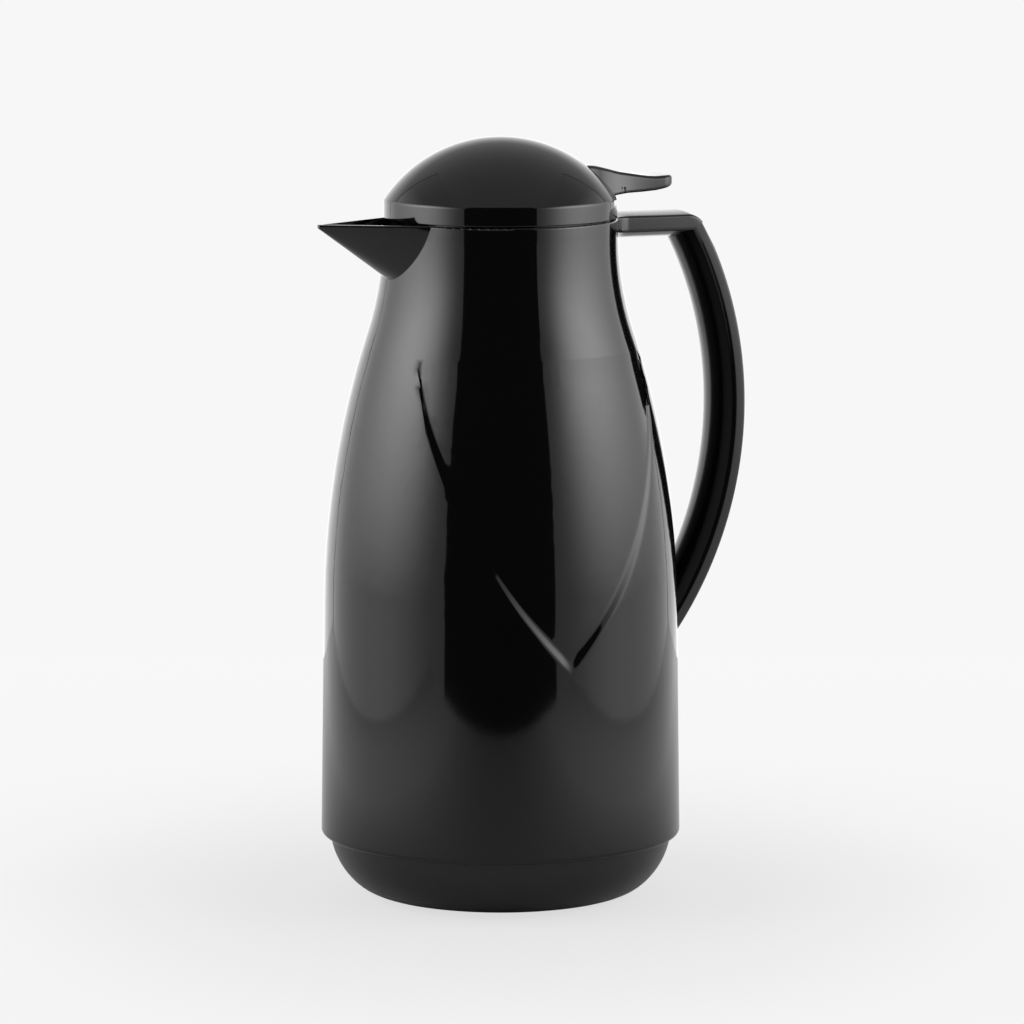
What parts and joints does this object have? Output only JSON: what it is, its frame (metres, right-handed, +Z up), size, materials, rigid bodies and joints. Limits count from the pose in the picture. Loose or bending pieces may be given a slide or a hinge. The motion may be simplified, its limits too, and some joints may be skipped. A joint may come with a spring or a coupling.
{
  "type": "thermal carafe",
  "caption": "Glass lined thermal carafe with a domed lid, a thumb lever that opens the pouring valve, a pointed spout and a strap handle.",
  "frame": {"origin": "on the axis of the body, at the plane it stands on", "axes": "+Z up along the body's axis, the spout points to -X and the handle to +X"},
  "size_m": [0.1687, 0.1352, 0.285],
  "materials": {
    "body_plastic": "polished black moulding",
    "handle_plastic": "satin black moulding",
    "base_plastic": "fine matte black moulding",
    "inner_plastic": "smooth black moulding",
    "silvered_glass": "blown glass silvered on the vacuum side",
    "soft_rubber": "soft black rubber",
    "silicone": "translucent silicone",
    "screw_steel": "stainless steel"
  },
  "bodies": {
    "jug": {"body_shell": "body_plastic", "handle": "handle_plastic", "handle_screws": "screw_steel", "neck_collar": "inner_plastic", "neck_gasket": "soft_rubber", "liner_outer_glass": "silvered_glass", "liner_inner_glass": "silvered_glass", "liner_cushion": "soft_rubber", "base_cup": "base_plastic", "foot_ring": "soft_rubber"},
    "lid": {"lid_dome": "body_plastic", "lid_screws": "screw_steel", "stopper_body": "inner_plastic", "valve_seat_cup": "inner_plastic", "stopper_seal": "silicone", "lever_pin": "screw_steel", "valve_spring": "screw_steel"},
    "lever": {"thumb_lever": "body_plastic"},
    "valve": {"valve_stem": "inner_plastic", "stem_nut": "screw_steel", "valve_disc": "inner_plastic", "valve_seal": "silicone"}
  },
  "joints": [
    {"name": "lid_turn", "type": "hinge", "parent": "jug", "child": "lid", "pos_m": [0, 0, 0.2545], "axis": [0, 0, 1], "range_deg": [0, 60]},
    {"name": "lever_press", "type": "hinge", "parent": "lid", "child": "lever", "pos_m": [0.036, 0, 0.2615], "axis": [0, 1, 0], "range_deg": [0, 12], "stiffness_Nm_per_rad": 0.3, "springref_deg": -5.73},
    {"name": "valve_lift", "type": "slide", "parent": "lid", "child": "valve", "axis": [0, 0, 1], "range_m": [0, 0.0075], "deforming": ["valve_spring"]}
  ],
  "couplings": [
    {"joint": "lever_press", "follows": "valve_lift", "rad_per_m": 27.778}
  ]
}
